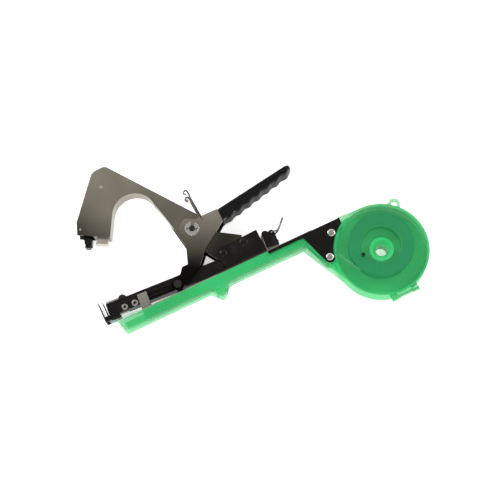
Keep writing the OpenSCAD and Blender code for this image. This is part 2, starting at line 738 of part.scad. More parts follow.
module handle_grip() {
    lower = grip_line(false, 0);
    tip = [for (i = [1:6]) on_arc([tip_x, grip_low(tip_x) + tip_r], tip_r, 90 - 180 * i / 7)];
    color("darkslategray") difference() {
        plate(concat(grip_line(true, 0), tip, [for (i = [len(lower) - 1:-1:0]) lower[i]]), 0, body_w);
        // pocket that is open below, for the lever's tongue
        plate([for (x = pocket_x) [x, grip_top(x) - grip_wall + 0.1], [pocket_x[1], 50], [pocket_x[0], 50]],
            mid_z - grip_in / 2, grip_in);
    }
}
clip_t = 0.8;
module main_pin() {
    color("dimgray") difference() {
        z_pin(main_pivot, main_pin_r, body_w - 0.6);
        for (s = [-1, 1])
            ring(main_pivot, main_pin_r - 0.6, main_pin_r + 2, mid_z + s * clip_z - clip_t / 2, clip_t);
    }
}
clip_z = lever_w / 2 + 0.2 + clip_t / 2;
module main_clips() {
    color("silver") for (s = [-1, 1])
        translate([main_pivot[0], main_pivot[1], mid_z + s * clip_z - clip_t / 2]) difference() {
            cylinder(r = 7.2, h = clip_t);
            translate([0, 0, -1]) cylinder(r = main_pin_r - 0.6 + pin_gap, h = 3);
            rotate(60) translate([0, -2.2, -1]) cube([12, 4.4, 3]);
            for (a = [-35, 155]) rotate(a) translate([4.6, 0, -1]) cylinder(r = 1.3, h = 3);
        }
}
module slot_studs() {
    color("silver") for (m = [0, 1])
        translate([stud_at[0], stud_at[1], mid_z]) mirror([0, 0, m]) {
            translate([0, 0, channel_in / 2 + 0.1]) cylinder(r = stud_r, h = lever_w / 2 - channel_in / 2);
            translate([0, 0, lever_w / 2]) cylinder(r = 4, h = 1.2);
        }
}
module stud_washers() {
    color("silver") for (m = [0, 1])
        translate([stud_at[0], stud_at[1], mid_z]) mirror([0, 0, m])
        translate([0, 0, channel_w / 2 + slide_gap]) difference() {
            cylinder(r = 6.2, h = (lever_in - channel_w) / 2 - slide_gap);
            translate([0, 0, -1]) cylinder(r = stud_r + pin_gap, h = 9);
        }
}
lock_wire_r = 0.9;
lock_z = lever_w / 2 + 0.1 + lock_wire_r;
module lock_wire() {
    color("silver") translate([lock_pivot[0], lock_pivot[1], mid_z]) {
        translate([0, 0, -lock_z - lock_wire_r]) cylinder(r = lock_wire_r, h = 2 * (lock_z + lock_wire_r));
        for (z = [-lock_z, lock_z])
            wire([[0, 0, z], [-1.4, 26, z], [-0.6, 32, z], [-3, 34, z], [-6.2, 32.4, z]], lock_wire_r);
    }
}

// ---------------------------------------------------------------- tape

// Path of the tape from the roll, through the groove and up between the front plates
tape_t = 0.3;
tape_in_case = [[-case_r + 19.5, -8], [-case_r + 10.5, 8], [-case_r + 0.5, tape_run_y], [-200, tape_run_y]];
// From the front of the channel and the top of the base
tape_out = [[23, 1.8], [3, 2.5], [-2, 3.5], [-3.8, 7.5], [-3.4, 23.5], [-1.5, 38.5]];
tape_path = concat(tape_in_case, [for (p = tape_out) p + [channel_front, base_top]]);
// The direction across a path at one of its points
function across(path, i) =
    let (run = path[min(i + 1, len(path) - 1)] - path[max(i - 1, 0)]) [-run[1], run[0]] / norm(run);
module tape_strip() {
    other_side = [for (i = [len(tape_path) - 1:-1:0]) tape_path[i] + tape_t * across(tape_path, i)];
    color("mediumaquamarine") plate(concat(tape_path, other_side), mid_z - tape_w / 2 + 0.5, tape_w - 1);
}

base_grip();
reel_case();
side_plate_near();
side_plate_far();
plate_screws();
plate_nuts();
rail();
case_cover();
cover_plug();
cover_hinge_pin();
roll_core();
tape_roll();
tape_strip();
housing();
rear_pin();
jaw_pin();
channel();
channel_rivets();
channel_saddle();
tape_guide();
guide_plate();
driver_blade();
float_spring();
magazine();
magazine_nose();
magazine_latch();
staples();
follower_rod();
tail_block();
end_plate();
follower();
follower_spring();
tail_wire();
jaw_arm();
jaw_spacer();
anvil();
anvil_rivets();
cutter_blade();
tape_claw();
claw_pin();
return_spring();
handle_lever();
handle_grip();
main_pin();
main_clips();
slot_studs();
stud_washers();
lock_wire();
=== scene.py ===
# %% [markdown]
# This lesson finishes a hand tool that ties plants with tape and staples. The mechanism is
# already designed: its pieces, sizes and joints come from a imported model, the frame. Blender
# adds what a designer's plain solids leave out: rounded edges, plating, moulded plastic,
# round wire, wound tape and coiled springs. Everything is in metres, in the frame's own axes.

# %% Load the frame
import json
import math

import bmesh
import bpy
from mathutils import Matrix, Vector


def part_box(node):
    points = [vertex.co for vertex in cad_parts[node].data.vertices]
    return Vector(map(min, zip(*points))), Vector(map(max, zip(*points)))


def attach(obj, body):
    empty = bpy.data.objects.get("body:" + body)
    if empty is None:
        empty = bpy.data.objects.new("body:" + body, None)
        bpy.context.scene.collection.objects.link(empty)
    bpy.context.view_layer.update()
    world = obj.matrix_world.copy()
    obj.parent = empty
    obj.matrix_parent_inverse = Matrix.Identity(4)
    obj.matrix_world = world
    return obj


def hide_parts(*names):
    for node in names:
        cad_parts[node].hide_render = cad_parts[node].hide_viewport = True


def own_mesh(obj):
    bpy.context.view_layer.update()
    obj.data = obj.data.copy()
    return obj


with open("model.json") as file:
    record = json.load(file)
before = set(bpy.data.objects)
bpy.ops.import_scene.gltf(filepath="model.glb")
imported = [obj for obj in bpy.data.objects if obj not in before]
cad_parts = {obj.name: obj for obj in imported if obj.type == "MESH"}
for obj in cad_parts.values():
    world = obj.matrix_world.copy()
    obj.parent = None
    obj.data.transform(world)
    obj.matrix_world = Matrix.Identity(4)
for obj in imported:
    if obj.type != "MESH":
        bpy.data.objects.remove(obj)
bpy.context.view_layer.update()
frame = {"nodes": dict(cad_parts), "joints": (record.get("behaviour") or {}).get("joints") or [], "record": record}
record = frame["record"]
MM = 0.001
BODY_OF = {n: body for body, group in record["behaviour"]["bodies"].items() for n in group}
PIVOT = {j["name"]: Vector(j.get("pos_m", (0, 0, 0))) for j in frame["joints"]}
MID_Z = PIVOT["jaw_close"].z

# %% [markdown]
# The camera comes first. It looks almost straight down on the tool, which lies on a white
# table, from a little towards the base. A long lens keeps the tool's two sides nearly parallel.

# %% Camera
CAMERA_AT = Vector((-0.2106, -0.2474, 1.050))
CAMERA_AIM = Vector((-0.1152, 0.0584, 0.011))
CAMERA_ROLL = math.radians(-8.49)
LENS = 79.1

camera_data = bpy.data.cameras.new("camera")
camera_data.lens = LENS
camera_data.sensor_width = 36
camera_data.clip_end = 20
camera = bpy.data.objects.new("camera", camera_data)
bpy.context.scene.collection.objects.link(camera)
bpy.context.scene.camera = camera
camera.rotation_mode = "QUATERNION"
camera.location = CAMERA_AT
look = (CAMERA_AIM - CAMERA_AT).to_track_quat("-Z", "Y")
camera.rotation_quaternion = look @ Matrix.Rotation(CAMERA_ROLL, 4, "Z").to_quaternion()

# %% [markdown]
# Small products are often lit on a glowing white table, which leaves no shadow under them.
# Plated steel shows only what it mirrors, and the tool's flat sides mirror the ceiling right
# above it. So the room is white all round with a dark band over the tool, as a black card hung
# there would make. The soft lights stand clear of that band.

# %% Table and light
def make_table():
    mesh = bpy.data.meshes.new("table")
    half = 3.0
    corners = [(-half, -half), (half, -half), (half, half), (-half, half)]
    mesh.from_pydata([(x, y, -0.4 * MM) for x, y in corners], [], [(0, 1, 2, 3)])
    table = bpy.data.objects.new("table", mesh)
    bpy.context.scene.collection.objects.link(table)
    return table


def softbox(name, place, size, power):
    data = bpy.data.lights.new(name, "AREA")
    data.shape = "RECTANGLE"
    data.size, data.size_y = size
    data.energy = power
    light = bpy.data.objects.new(name, data)
    bpy.context.scene.collection.objects.link(light)
    light.location = place
    light.rotation_mode = "QUATERNION"
    light.rotation_quaternion = (CAMERA_AIM - Vector(place)).to_track_quat("-Z", "Y")
    return light


table = make_table()
softbox("key", (-0.9, 1.5, 1.1), (0.9, 0.6), 15)
softbox("fill", (1.2, 0.1, 1.0), (0.8, 0.8), 9)
softbox("front", (-1.1, -0.9, 0.9), (0.8, 0.6), 9)

# %% [markdown]
# The room's brightness depends on how far a direction leans towards the tool's handle side,
# which is +Y. The ramp holds the dark band between a bright front and a bright back.

# %% Room
BAND = ((0.0, 1.0), (0.40, 0.95), (0.50, 0.16), (0.615, 0.13), (0.665, 0.42), (0.70, 0.85), (1.0, 1.0))
world = bpy.data.worlds.new("room")
bpy.context.scene.world = world
world.use_nodes = True
room = world.node_tree
direction = room.nodes.new("ShaderNodeTexCoord").outputs["Generated"]
split = room.nodes.new("ShaderNodeSeparateXYZ")
room.links.new(direction, split.inputs[0])
lean = room.nodes.new("ShaderNodeMapRange")
lean.inputs["From Min"].default_value = -1
room.links.new(split.outputs["Y"], lean.inputs["Value"])
ramp = room.nodes.new("ShaderNodeValToRGB")
ramp.color_ramp.interpolation = "EASE"
for place, tone in BAND[1:-1]:
    ramp.color_ramp.elements.new(place).color = (tone, tone * 0.985, tone * 0.96, 1)
ramp.color_ramp.elements[0].color = (1, 1, 1, 1)
ramp.color_ramp.elements[-1].color = (1, 1, 1, 1)
room.links.new(lean.outputs["Result"], ramp.inputs["Fac"])
room.links.new(ramp.outputs["Color"], room.nodes["Background"].inputs["Color"])
room.nodes["Background"].inputs["Strength"].default_value = 0.9
bpy.context.scene.view_settings.view_transform = "Standard"
bpy.context.scene.view_settings.look = "None"

# %% [markdown]
# Materials are small node trees. A helper keeps them short: it adds a node, sets its inputs
# by name and joins what it is given. All patterns read Object coordinates, which are the
# frame's own metres, so a pattern keeps its real size and stays on its piece.

# %% Node helpers
class Tree:
    """A material's node tree with short ways to add and join nodes."""

    def __init__(self, name):
        self.material = bpy.data.materials.new(name)
        self.material.use_nodes = True
        self.nodes = self.material.node_tree.nodes
        self.links = self.material.node_tree.links
        self.shader = self.nodes["Principled BSDF"]
        self.place = self.add("ShaderNodeTexCoord").outputs["Object"]

    def add(self, kind, settings=None, **inputs):
        node = self.nodes.new(kind)
        for key, value in (settings or {}).items():
            setattr(node, key, value)
        for key, value in inputs.items():
            self.put(node, key.replace("_", " "), value)
        return node

    def put(self, node, key, value):
        socket = node.inputs[key]
        if isinstance(value, bpy.types.NodeSocket):
            self.links.new(value, socket)
        else:
            socket.default_value = (*value, 1) if socket.type == "RGBA" and len(value) == 3 else value

    def set(self, **values):
        for key, value in values.items():
            self.put(self.shader, key.replace("_", " "), value)

    def scaled(self, stretch, centre=(0, 0, 0), turn=(0, 0, 0)):
        """Object coordinates about a centre, turned and then stretched along each axis."""
        shift = self.add("ShaderNodeVectorMath", {"operation": "SUBTRACT"})
        self.links.new(self.place, shift.inputs[0])
        shift.inputs[1].default_value = centre
        turned = self.add("ShaderNodeMapping", Rotation=turn)
        self.links.new(shift.outputs[0], turned.inputs["Vector"])
        mapping = self.add("ShaderNodeMapping", Scale=stretch)
        self.links.new(turned.outputs[0], mapping.inputs["Vector"])
        return mapping.outputs["Vector"]

    def noise(self, vector, scale, detail=3.0, rough=0.5):
        node = self.add("ShaderNodeTexNoise", Scale=scale, Detail=detail, Roughness=rough)
        self.links.new(vector, node.inputs["Vector"])
        return node.outputs["Fac"]

    def between(self, value, low, high, from_low=0.3, from_high=0.7):
        node = self.add("ShaderNodeMapRange")
        self.links.new(value, node.inputs["Value"])
        limits = {"From Min": from_low, "From Max": from_high, "To Min": low, "To Max": high}
        for key, number in limits.items():
            node.inputs[key].default_value = number
        return node.outputs["Result"]

    def radius(self, centre):
        """Distance from an axis along Z through the centre, in metres."""
        node = self.add("ShaderNodeVectorMath", {"operation": "LENGTH"})
        self.links.new(self.scaled((1, 1, 0), centre=centre), node.inputs[0])
        return node.outputs["Value"]

    def towards(self, start, end, stray):
        """0 at the start point and 1 at the end point, with an edge that a noise makes uneven."""
        way = (Vector(end) - Vector(start)) * MM
        along = self.add("ShaderNodeVectorMath", {"operation": "DOT_PRODUCT"})
        self.links.new(self.scaled((1, 1, 0), centre=(start[0] * MM, start[1] * MM, 0)), along.inputs[0])
        along.inputs[1].default_value = (way.x / way.length_squared, way.y / way.length_squared, 0)
        mixed = self.add("ShaderNodeMath", {"operation": "MULTIPLY_ADD"})
        self.links.new(stray, mixed.inputs[0])
        mixed.inputs[1].default_value = 0.5
        self.links.new(along.outputs["Value"], mixed.inputs[2])
        return self.between(mixed.outputs[0], 0, 1, 0.25, 1.25)

    def blend(self, factor, first, second):
        node = self.add("ShaderNodeMix", {"data_type": "RGBA"})
        self.links.new(factor, node.inputs["Factor"])
        for socket, colour in ((node.inputs["A"], first), (node.inputs["B"], second)):
            if isinstance(colour, bpy.types.NodeSocket):
                self.links.new(colour, socket)
            else:
                socket.default_value = (*colour, 1)
        return node.outputs["Result"]

    def bump(self, height, strength, distance):
        node = self.add("ShaderNodeBump", Strength=strength, Distance=distance)
        self.links.new(height, node.inputs["Height"])
        self.links.new(node.outputs["Normal"], self.shader.inputs["Normal"])


# %% [markdown]
# Plated sheet steel is rolled before it is pressed, so it has fine lines along one way under
# the nickel. A noise that is stretched along the sheet gives those lines, and a second, broad
# noise makes the plating a little uneven, as it is on a cheap hand tool. The jaw's and the
# lever's plates also carry painted shade: their colour darkens towards listed points, where
# they mirror dark.

# %% Steel finishes
def steel(name, light, dark, roughness, lines=0.12, grain_turn=0.0, cloud=14.0, painted_shade=None):
    """Plated sheet. The last argument lists (start, end, depth) for painted shade: the colour is darkest, depth
    times dark, at each start and fades out by each end.
    """
    tree = Tree(name)
    grain = tree.noise(tree.scaled((40, 1500, 1500), turn=(0, 0, grain_turn)), 1.0, 4.0)
    broad = tree.noise(tree.place, cloud, 2.0)
    colour = tree.blend(tree.between(broad, 0, 1, 0.35, 0.68), light, dark)
    # Painted shade: the colour darkens towards each start point, standing in for the dark surroundings that the
    # plate mirrors there.
    for start, end, depth in painted_shade or ():
        colour = tree.blend(tree.towards(start, end, broad), tuple(c * depth for c in dark), colour)
    tree.set(Metallic=1.0, Base_Color=colour)
    tree.set(Roughness=tree.between(grain, roughness * 0.8, roughness * 1.3))
    tree.bump(grain, lines, 0.03 * MM)
    return tree.material


def black_oxide(name, tone=0.014, roughness=0.3):
    """Blackened steel: dark, a little brown, worn grey in spots."""
    tree = Tree(name)
    fine = tree.noise(tree.place, 900, 4.0)
    broad = tree.noise(tree.place, 60, 3.0)
    worn = tree.between(broad, 0, 0.6, 0.55, 0.75)
    colour = tree.blend(worn, (tone, tone * 0.92, tone * 0.88), (tone * 3.2, tone * 3.0, tone * 2.8))
    tree.set(Metallic=0.7, Base_Color=colour, Specular_IOR_Level=0.4)
    tree.set(Roughness=tree.between(fine, roughness * 0.8, roughness * 1.2))
    tree.bump(fine, 0.15, 0.04 * MM)
    return tree.material


# The jaw's plate carries painted shade, darker towards the listed points where it mirrors dark.
jaw_steel = steel(
    "nickel_sheet", (0.40, 0.37, 0.30), (0.27, 0.25, 0.20), 0.18, grain_turn=math.radians(55),
    painted_shade=(
        ((-264, 150, 0), (-232, 164, 0), 0.3), ((-150, 66, 0), (-176, 112, 0), 0.16),
        ((-118, 70, 0), (-134, 84, 0), 0.5),
    ),
)
# Painted shade: the lever's plate goes almost black towards its listed points, where it mirrors dark.
lever_steel = steel(
    "nickel_lever", (0.62, 0.57, 0.46), (0.40, 0.37, 0.31), 0.18, cloud=22,
    painted_shade=(((-176, 66, 0), (-146, 112, 0), 0.05), ((-190, 50, 0), (-172, 84, 0), 0.03)),
)
bright_steel = steel("bright_steel", (0.80, 0.78, 0.73), (0.60, 0.58, 0.54), 0.25)
saddle_steel = steel("zinc_sheet", (0.34, 0.33, 0.28), (0.25, 0.24, 0.20), 0.42, cloud=90)
rail_steel = steel("rail_steel", (0.60, 0.56, 0.50), (0.42, 0.39, 0.35), 0.32)
wire_steel = steel("drawn_wire", (0.26, 0.24, 0.21), (0.10, 0.09, 0.08), 0.28, cloud=120)
staple_steel = steel("staple_wire", (0.72, 0.62, 0.50), (0.46, 0.36, 0.27), 0.35, cloud=400)
dark_steel = black_oxide("black_oxide")
clip_steel = black_oxide("phosphate", 0.03, 0.45)
brass = steel("brass", (0.80, 0.60, 0.26), (0.60, 0.42, 0.16), 0.3)

# %% [markdown]
# The green mouldings are milky and let some light through, so that the dark roll shows as a
# ring inside the case and thin lugs look pale on a white table. Transparency does this more
# cheaply than true refraction. A wall has two faces, and each one holds back a share of the
# light. Beyond the case's rim only the thin lug and the cover's tab are left, so the share
# falls there. A fine, low bump is the spark finish of the mould.

# %% Plastics
CASE_R = (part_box("case_cover")[1][0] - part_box("case_cover")[0][0]) / 2


def moulded_plastic(name, colour, deep, share, thin_share=None, roughness=0.3):
    tree = Tree(name)
    flow = tree.noise(tree.scaled((14, 30, 30)), 1.0, 2.0)
    skin = tree.noise(tree.place, 1500, 2.0)
    tree.set(Base_Color=tree.blend(tree.between(flow, 0, 1, 0.35, 0.65), colour, deep))
    if thin_share is None:
        tree.set(Alpha=share)
    else:
        edge = (CASE_R - 0.5 * MM, CASE_R + 1.5 * MM)
        outside = tree.between(tree.radius((0, 0, 0)), share, thin_share, *edge)
        tree.set(Alpha=outside)
    tree.set(Roughness=tree.between(skin, roughness * 0.85, roughness * 1.2))
    tree.bump(skin, 0.08, 0.03 * MM)
    return tree.material


base_plastic = moulded_plastic("green_moulding", (0.035, 0.66, 0.20), (0.028, 0.56, 0.16), 0.52)
case_plastic = moulded_plastic("case_moulding", (0.035, 0.64, 0.19), (0.030, 0.57, 0.16), 0.80, 0.5)
cover_plastic = moulded_plastic("cover_moulding", (0.040, 0.68, 0.21), (0.035, 0.62, 0.18), 0.13, 0.3, 0.24)

# %% [markdown]
# The grip is dipped in soft vinyl, which is black, a little shiny and finely pitted. The roll
# shows the edges of its turns as rings about its own axis, a fifth of a millimetre apart, and
# the loose end is the same film in a single thickness, so it is much paler. The core is card.

# %% Vinyl, tape, card and table finishes
def dipped_vinyl():
    tree = Tree("dipped_vinyl")
    pores = tree.noise(tree.place, 1100, 3.0)
    drift = tree.noise(tree.place, 50, 2.0)
    tree.set(Base_Color=tree.blend(drift, (0.004, 0.004, 0.0045), (0.009, 0.009, 0.010)))
    tree.set(Roughness=tree.between(pores, 0.30, 0.46), Specular_IOR_Level=0.10)
    tree.bump(pores, 0.3, 0.1 * MM)
    return tree.material


def wound_tape(name, dark, light, share):
    tree = Tree(name)
    rings = tree.add("ShaderNodeTexWave", {"wave_type": "RINGS", "rings_direction": "Z"})
    rings.inputs["Scale"].default_value = 640
    rings.inputs["Distortion"].default_value = 0.6
    rings.inputs["Detail"].default_value = 1.0
    tree.links.new(tree.scaled((1, 1, 0), centre=PIVOT["roll_spin"]), rings.inputs["Vector"])
    tree.set(Base_Color=tree.blend(rings.outputs["Fac"], dark, light))
    tree.set(Roughness=0.45, Alpha=share)
    tree.bump(rings.outputs["Fac"], 0.3, 0.05 * MM)
    return tree.material


def tape_film():
    tree = Tree("tape_film")
    stretch = tree.noise(tree.scaled((60, 60, 500)), 1.0, 2.0)
    tree.set(Base_Color=tree.blend(stretch, (0.42, 0.60, 0.50), (0.52, 0.68, 0.60)))
    tree.set(Roughness=0.35, Alpha=0.3)
    tree.bump(stretch, 0.2, 0.05 * MM)
    return tree.material


def card():
    tree = Tree("card")
    fibres = tree.noise(tree.scaled((1, 1, 4)), 700, 4.0)
    tree.set(Base_Color=tree.blend(fibres, (0.02, 0.16, 0.05), (0.04, 0.22, 0.08)), Roughness=0.85)
    tree.bump(fibres, 0.3, 0.1 * MM)
    return tree.material


def table_finish():
    """Glowing white acrylic with a faint grain."""
    tree = Tree("table_acrylic")
    grain = tree.noise(tree.place, 200, 2.0)
    tree.set(Base_Color=tree.blend(grain, (0.90, 0.90, 0.90), (0.94, 0.94, 0.94)), Roughness=0.9)
    tree.set(Emission_Color=(1, 1, 1), Emission_Strength=0.55)
    return tree.material


vinyl = dipped_vinyl()
roll_tape = wound_tape("wound_tape", (0.003, 0.12, 0.05), (0.006, 0.16, 0.07), 1.0)
loose_tape = tape_film()
card_material = card()
table.data.materials.append(table_finish())

# %% [markdown]
# A designer's solid has knife edges, and nothing made of sheet steel or moulded plastic does.
# A rounded edge is what catches the light. Each sheet and moulding is copied from its solid,
# its loose triangles are joined into whole faces, and every sharp edge is bevelled by the
# radius that its material has. The copy stands for the solid and rides on the same body.

# %% Rounded copies of the solids
SHARP = math.radians(32)


def show(piece, nodes, material, body=None):
    """Puts a finished piece on its body in place of the solids that it stands for."""
    names = [nodes] if isinstance(nodes, str) else list(nodes)
    if piece.name not in bpy.context.scene.objects:
        bpy.context.scene.collection.objects.link(piece)
    if material is not None:
        piece.data.materials.clear()
        piece.data.materials.append(material)
    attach(piece, body or BODY_OF[names[0]])
    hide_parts(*names)
    return piece


def whole_faces(node):
    """A bmesh of a solid whose triangles are joined into flat faces."""
    work = bmesh.new()
    work.from_mesh(frame["nodes"][node].data)
    bmesh.ops.remove_doubles(work, verts=work.verts, dist=0.01 * MM)
    bmesh.ops.dissolve_degenerate(work, edges=work.edges, dist=0.005 * MM)
    bmesh.ops.dissolve_limit(
        work, angle_limit=math.radians(1), verts=work.verts, edges=work.edges, delimit={"NORMAL"}
    )
    return work


def smooth_mesh(mesh, angle=math.radians(40)):
    mesh.polygons.foreach_set("use_smooth", [True] * len(mesh.polygons))
    mesh.set_sharp_from_angle(angle=angle)


def rounded(node, radius, material, steps=2):
    work = whole_faces(node)
    edges = [e for e in work.edges if len(e.link_faces) == 2 and e.calc_face_angle(0) > SHARP]
    bmesh.ops.bevel(
        work, geom=edges, offset=radius * MM, segments=steps, profile=0.5, affect="EDGES", clamp_overlap=True
    )
    mesh = bpy.data.meshes.new(node + "_finished")
    work.to_mesh(mesh)
    work.free()
    smooth_mesh(mesh)
    piece = bpy.data.objects.new(node + "_finished", mesh)
    piece.modifiers.new("even_shading", "WEIGHTED_NORMAL").keep_sharp = True
    return show(piece, node, material)


EDGES = {
    "jaw_arm": (0.22, jaw_steel),
    "handle_lever": (0.22, lever_steel),
    "housing": (0.22, dark_steel),
    "channel": (0.2, dark_steel),
    "side_plate_near": (0.25, dark_steel),
    "side_plate_far": (0.25, dark_steel),
    "rail": (0.15, rail_steel),
    "channel_saddle": (0.2, saddle_steel),
    "tape_guide": (0.15, dark_steel),
    "guide_plate": (0.15, clip_steel),
    "magazine": (0.12, clip_steel),
    "magazine_nose": (0.2, staple_steel),
    "magazine_latch": (0.3, clip_steel),
    "tail_block": (0.4, dark_steel),
    "end_plate": (0.2, saddle_steel),
    "anvil": (0.2, rail_steel),
    "tape_claw": (0.2, dark_steel),
    "main_clips": (0.12, bright_steel),
    "main_pin": (0.3, clip_steel),
    "slot_studs": (0.3, clip_steel),
    "stud_washers": (0.15, dark_steel),
    "jaw_spacer": (0.2, rail_steel),
    "plate_nuts": (0.2, bright_steel),
    "base_grip": (0.45, base_plastic),
    "reel_case": (0.45, case_plastic),
    "case_cover": (0.35, cover_plastic),
    "cover_plug": (0.15, vinyl),
    "roll_core": (0.1, card_material),
    "follower": (0.2, brass),
    "cutter_blade": (0.05, bright_steel),
}
for node, (radius, material) in EDGES.items():
    piece = rounded(node, radius, material)
    print(node, len(piece.data.polygons), "faces")

# %% [markdown]
# Springs, staples, screw heads and turns of tape all follow a rule, so Geometry Nodes make
# them. A second helper builds such a tree: its sizes are named inputs, and it always ends in
# Realize Instances and Set Material, so that the result is one plain mesh. The modifier is
# only a workbench: the mesh is taken off it and the modifier is thrown away.

# %% Geometry node helper
class Recipe:
    """A Geometry Nodes tree with named inputs, which is run once to make a mesh."""

    SOCKETS = {
        "number": "NodeSocketFloat", "count": "NodeSocketInt", "vector": "NodeSocketVector",
        "object": "NodeSocketObject", "material": "NodeSocketMaterial",
    }

    def __init__(self, name, **inputs):
        self.group = bpy.data.node_groups.new(name, "GeometryNodeTree")
        self.identifier = {}
        face = self.group.interface
        face.new_socket(name="Geometry", in_out="INPUT", socket_type="NodeSocketGeometry")
        for key, kind in {**inputs, "Material": "material"}.items():
            made = face.new_socket(name=key, in_out="INPUT", socket_type=self.SOCKETS[kind])
            self.identifier[key] = made.identifier
        face.new_socket(name="Geometry", in_out="OUTPUT", socket_type="NodeSocketGeometry")
        self.input = self.group.nodes.new("NodeGroupInput").outputs
        self.output = self.group.nodes.new("NodeGroupOutput")

    def add(self, kind, settings=None, **inputs):
        node = self.group.nodes.new(kind)
        for key, value in (settings or {}).items():
            setattr(node, key, value)
        for key, value in inputs.items():
            socket = node.inputs[key.replace("_", " ")]
            if isinstance(value, bpy.types.NodeSocket):
                self.group.links.new(value, socket)
            else:
                socket.default_value = value
        return node.outputs[0]

    def end(self, geometry):
        plain = self.add("GeometryNodeRealizeInstances", Geometry=geometry)
        done = self.add("GeometryNodeSetMaterial", Geometry=plain, Material=self.input["Material"])
        self.group.links.new(done, self.output.inputs["Geometry"])
        return self

    def make(self, name, points=(), place=None, **values):
        """Runs the recipe on loose points and returns the finished piece at the origin."""
        mesh = bpy.data.meshes.new(name + "_start")
        mesh.from_pydata([Vector(p) for p in points], [], [])
        bench = bpy.data.objects.new(name + "_bench", mesh)
        bpy.context.scene.collection.objects.link(bench)
        recipe = bench.modifiers.new("recipe", "NODES")
        recipe.node_group = self.group
        for key, value in values.items():
            recipe[self.identifier[key]] = value
        ready = bench.evaluated_get(bpy.context.evaluated_depsgraph_get())
        result = bpy.data.meshes.new_from_object(ready)
        result.name = name
        if place is not None:
            result.transform(place)
        bpy.data.objects.remove(bench)
        smooth_mesh(result)
        print(name, len(result.polygons), "faces from", self.group.name)
        return bpy.data.objects.new(name, result)


# %% [markdown]
# A coil spring is a round wire along a helix. The helix is a curve, and a small circle is
# swept along it. Ground springs end flat, but the ends of these small ones are simply cut.

# %% Coil springs
coil = Recipe("coil_spring", Turns="number", Radius="number", Length="number", Wire="number", Steps="count")
helix = coil.add(
    "GeometryNodeCurveSpiral", Resolution=coil.input["Steps"], Rotations=coil.input["Turns"],
    Start_Radius=coil.input["Radius"], End_Radius=coil.input["Radius"], Height=coil.input["Length"],
)
round_wire = coil.add("GeometryNodeCurvePrimitiveCircle", Resolution=10, Radius=coil.input["Wire"])
coil.end(coil.add("GeometryNodeCurveToMesh", Curve=helix, Profile_Curve=round_wire, Fill_Caps=True))

CHANNEL_WAY = Vector(next(j["axis"] for j in frame["joints"] if j["name"] == "follower_feed")).normalized()
CHANNEL_UP = Vector((-CHANNEL_WAY.y, CHANNEL_WAY.x, 0))
CHANNEL_ROOT = Vector((PIVOT["magazine_float"].x, 46.9 * MM, MID_Z))


def in_channel(x, y, z=0.0):
    """A point of the channel's own frame, in millimetres from its root."""
    return CHANNEL_ROOT + (CHANNEL_WAY * x + CHANNEL_UP * y + Vector((0, 0, z))) * MM


def along_axis(start, axis):
    """The turn and shift that put a piece made along Z at a start, along an axis."""
    return Matrix.Translation(start) @ Vector(axis).to_track_quat("Z", "Y").to_matrix().to_4x4()


def channel_x(point):
    return (Vector(point) - CHANNEL_ROOT).dot(CHANNEL_WAY) / MM


low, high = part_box("follower_spring")
feed_start, feed_length = channel_x(low) + 0.6, (high[0] - low[0]) / MM / CHANNEL_WAY.x - 1.0
feed_spring = coil.make(
    "follower_spring_coil", place=along_axis(in_channel(feed_start, 10.1), CHANNEL_WAY),
    Turns=26.0, Radius=1.75 * MM, Length=feed_length * MM, Wire=0.3 * MM, Steps=18, Material=wire_steel,
)
show(feed_spring, "follower_spring", None)
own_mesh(feed_spring)

low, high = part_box("float_spring")
float_x = channel_x((Vector(low) + Vector(high)) / 2)
float_spring = coil.make(
    "float_spring_coil", place=along_axis(in_channel(float_x, 1.6), CHANNEL_UP),
    Turns=4.0, Radius=2.4 * MM, Length=4.9 * MM, Wire=0.4 * MM, Steps=24, Material=wire_steel,
)
show(float_spring, "float_spring", None)
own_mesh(float_spring)

# %% [markdown]
# The return spring sits round the main pin, inside the jaw. It is a pair of coils, wound the
# same way, one on each side of the middle.

# %% Return spring
MAIN_PIN = PIVOT["handle_squeeze"]


def joined(name, pieces):
    """Several made pieces as one mesh, which is one piece on one body."""
    work = bmesh.new()
    materials = []
    for piece in pieces:
        work.from_mesh(piece.data)
        materials = materials or list(piece.data.materials)
        bpy.data.objects.remove(piece)
    mesh = bpy.data.meshes.new(name)
    work.to_mesh(mesh)
    work.free()
    for material in materials:
        mesh.materials.append(material)
    smooth_mesh(mesh)
    return bpy.data.objects.new(name, mesh)


halves = [
    coil.make(
        "return_coil", place=Matrix.Translation((MAIN_PIN.x, MAIN_PIN.y, MID_Z + z * MM)),
        Turns=2.8, Radius=4.4 * MM, Length=2.9 * MM, Wire=0.5 * MM, Steps=40, Material=wire_steel,
    )
    for z in (-4.2, 1.3)
]
show(joined("return_spring_coils", halves), "return_spring", None)

# %% [markdown]
# Staples come as a stick: wires glued side by side and bent into a long U. One staple is a
# wire with two bends, and the recipe repeats it along the magazine at the wire's own pitch.

